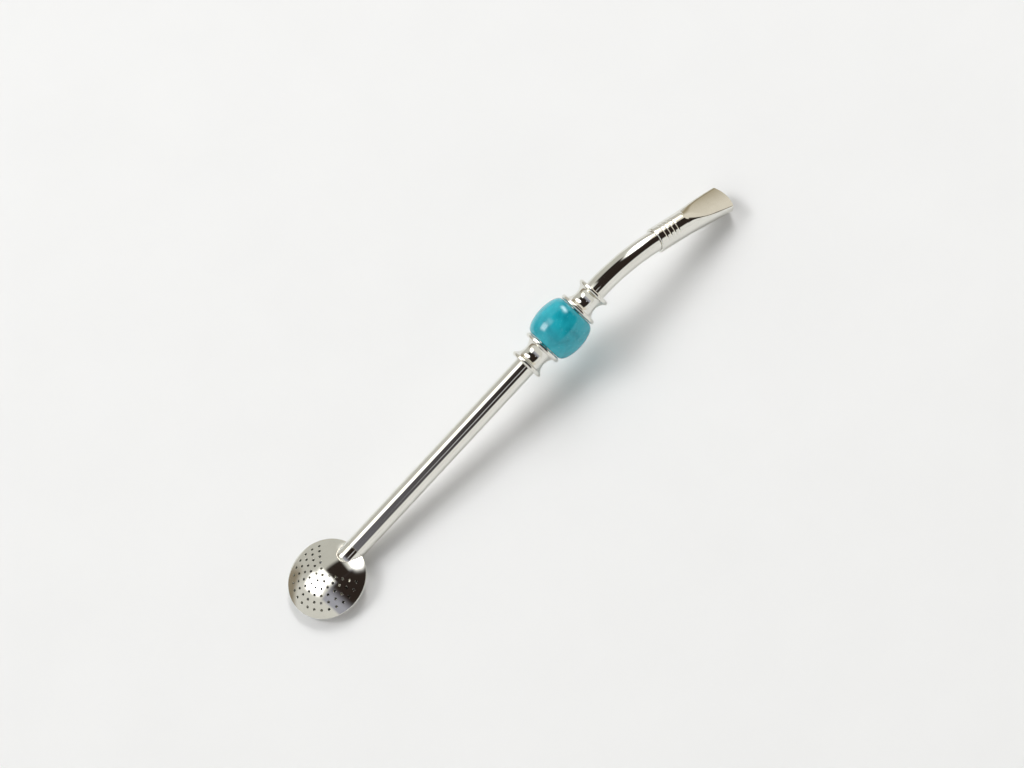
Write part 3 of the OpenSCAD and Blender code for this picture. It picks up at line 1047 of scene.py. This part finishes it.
# Each softbox: its reach along +X, its angles over the top, its brightness, and the share of its width
# over which it fades. The fill lifts the floor and the bead, and is kept out of the metal's reflections.
softboxes = {
    "left_window": ((-0.585, -0.065), (36, 85), 6.5, 0.34),
    "right_window": ((0.48, 0.87), (10, 112), 8.4, 0.42),
    "overhead_strip": ((-0.20, 0.08), (42, 88), 1.5, 0.3),
    "overhead_fill": ((-0.40, 0.60), (80, 150), 0.3, 0.1),
}
for name, ((left, right), (near, far), brightness, fade) in softboxes.items():
    middle = (left + right) / 2
    aim = towards(middle, (near + far) / 2)
    lamp = bpy.data.lights.new(name, "AREA")
    lamp.shape = "RECTANGLE"
    lamp.size = light_reach * (math.asin(right) - math.asin(left))
    lamp.size_y = light_reach * math.radians(far - near) * math.sqrt(1 - middle ** 2)
    lamp.energy = brightness * math.pi * lamp.size * lamp.size_y
    # The cloth of a softbox dims towards its edges
    lamp.use_nodes = True
    on_cloth = add_node(lamp.node_tree, "ShaderNodeNewGeometry").outputs["Parametric"]
    cloth = add_node(lamp.node_tree, "ShaderNodeSeparateXYZ", {0: on_cloth}).outputs
    glow = product(lamp.node_tree, [
        ease(lamp.node_tree, cloth[axis], from_edge, from_edge + way * fade)
        for axis in ("X", "Y") for from_edge, way in ((0, 1), (1, -1))
    ])
    glow = add_node(lamp.node_tree, "ShaderNodeMath", {0: glow, 1: cloth_falloff}, operation="POWER")
    lamp.node_tree.links.new(glow.outputs[0], lamp.node_tree.nodes["Emission"].inputs["Strength"])
    holder = bpy.data.objects.new(name, lamp)
    across = (Vector((1, 0, 0)) - aim * aim.x).normalized()
    turned_to = Matrix((across, aim.cross(across), aim)).transposed().to_4x4()
    holder.matrix_world = Matrix.Translation(straw_middle + aim * light_reach) @ turned_to
    holder.visible_camera = False
    holder.visible_glossy = name != "overhead_fill"
    bpy.context.scene.collection.objects.link(holder)

# The room, by direction: where it is along +X, and how high over the top from +Y
room = bpy.data.worlds.new("plain_room")
room.use_nodes = True
room_tree = room.node_tree
room_place = add_node(room_tree, "ShaderNodeTexCoord").outputs["Generated"]
room_way = add_node(room_tree, "ShaderNodeSeparateXYZ", {0: room_place}).outputs
room_height = add_node(
    room_tree, "ShaderNodeMath", {0: room_way["Z"], 1: room_way["Y"]}, operation="ARCTAN2"
).outputs[0]


def part_of_room(along, height):
    """The share of a part of the room, from four places along +X and four heights in degrees."""
    shares = []
    for value, edges in [(room_way["X"], along), (room_height, [math.radians(h) for h in height])]:
        shares += [ease(room_tree, value, edges[0], edges[1]), ease(room_tree, value, edges[3], edges[2])]
    return product(room_tree, shares)


room_colour = linear("#F0F0ED")
for colour, share in [
    # The far side, the end past the strainer, and the end past the mouthpiece
    ("#CBCAC3", ease(room_tree, room_way["Y"], -0.3, 0.6)),
    ("#DEDDD7", ease(room_tree, room_way["X"], -0.2, -0.5)),
    ("#EAE3D5", ease(room_tree, room_way["X"], 0.6, 0.8)),
    # The darker corners; places past -1 are never reached, so the second has no edge at its end
    ("#A2967C", product(room_tree, [
        ease(room_tree, room_way["X"], 0.62, 0.76), ease(room_tree, room_way["Y"], 0.43, 0.60),
    ])),
    ("#968C7A", part_of_room((-1.2, -1.1, -0.35, -0.12), (-20, -10, 18, 36))),
    # The ceiling, grey over the strainer and black over the rest, with a narrow pale gap
    ("#A8A9B4", part_of_room((-0.5, -0.42, 0.5, 0.6), (80, 86, 153, 161))),
    ("#302824", part_of_room((-0.3, 0.0, 0.84, 0.92), (80, 88, 153, 161))),
    ("#302824", part_of_room((0.05, 0.1, 0.42, 0.5), (54, 62, 84, 92))),
    ("#D4D3D6", part_of_room((-0.1, -0.06, 0.03, 0.07), (123, 126, 130, 133))),
]:
    room_colour = add_node(
        room_tree, "ShaderNodeMix", {"Factor": share, MIX_A: room_colour, MIX_B: linear(colour)},
        data_type="RGBA",
    ).outputs[MIX_OUT]
room_tree.links.new(room_colour, room_tree.nodes["Background"].inputs["Color"])
room_tree.nodes["Background"].inputs["Strength"].default_value = 1
bpy.context.scene.world = room


# Camera
# Far off with a long lens, so the lines stay almost parallel. It looks down on the straw from the front,
# turned so that the stem runs up to the right across the picture.
camera_reach = 2.4
camera_height = math.radians(60.8)
stem_rise = math.radians(47.1)
picture_width = 367.0 * MM
sensor_width = 36
aim_at = Vector((81.6 * MM, -1.08 * MM, 0))
back = Vector((0, -math.cos(camera_height), math.sin(camera_height)))
below = Vector((0, -math.sin(camera_height), -math.cos(camera_height)))
stem_way = Vector((1, 0, 0))
right_way = stem_way * math.cos(stem_rise) + below * math.sin(stem_rise)
up_way = stem_way * math.sin(stem_rise) - below * math.cos(stem_rise)
lens = bpy.data.cameras.new("camera")
lens.sensor_width = sensor_width
lens.lens = sensor_width * camera_reach / picture_width
camera = bpy.data.objects.new("camera", lens)
camera.matrix_world = Matrix.Translation(aim_at + back * camera_reach) @ Matrix(
    (right_way, up_way, back)
).transposed().to_4x4()
bpy.context.scene.collection.objects.link(camera)
bpy.context.scene.camera = camera
bpy.context.scene.view_settings.view_transform = "Standard"
